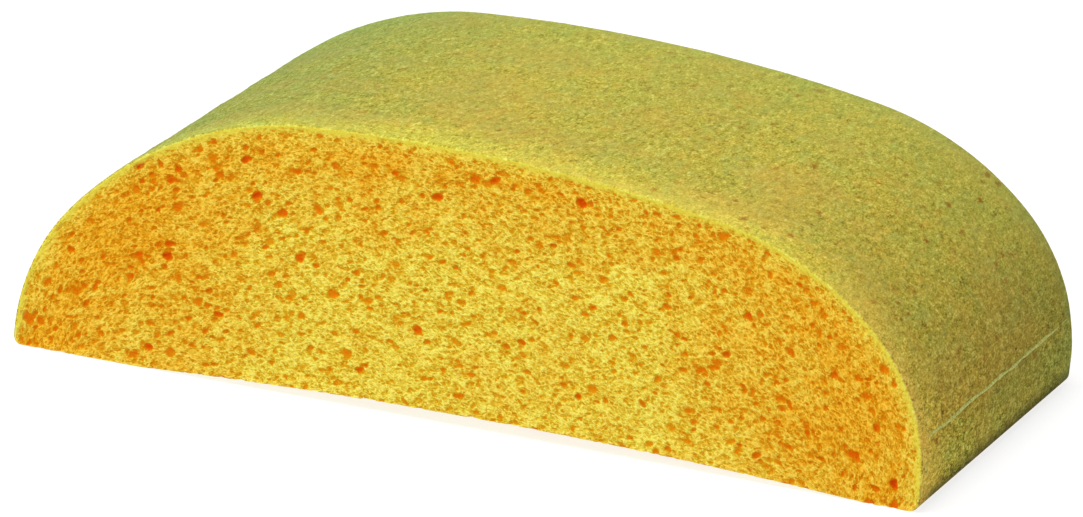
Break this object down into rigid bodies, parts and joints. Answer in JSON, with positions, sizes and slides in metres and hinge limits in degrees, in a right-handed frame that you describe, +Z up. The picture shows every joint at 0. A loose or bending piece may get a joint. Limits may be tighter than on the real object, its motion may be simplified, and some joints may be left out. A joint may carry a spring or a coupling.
{
  "type": "half-round grouting sponge",
  "caption": "Half-round cellulose sponge with open-celled cut faces and a fine-skinned arched back, for washing grout off tiled floors.",
  "frame": {"origin": "middle of the base, on the surface the sponge rests on", "axes": "+X across the arch to the right, +Y from the front cut face to the back one, +Z up to the crown"},
  "size_m": [0.19, 0.125, 0.0564],
  "materials": {
    "open_cell_foam": "dry cut cellulose foam, open pores of 0.3 to 3 mm, matt",
    "rind": "fine-pored moulded skin with a felt-like speckle, matt",
    "parting_line": "dense pale skin, matt"
  },
  "bodies": {
    "root": {"foam_core": "open_cell_foam", "back_rind": "rind", "left_side_rind": "rind", "right_side_rind": "rind", "left_parting_bead": "parting_line", "right_parting_bead": "parting_line"}
  },
  "joints": []
}
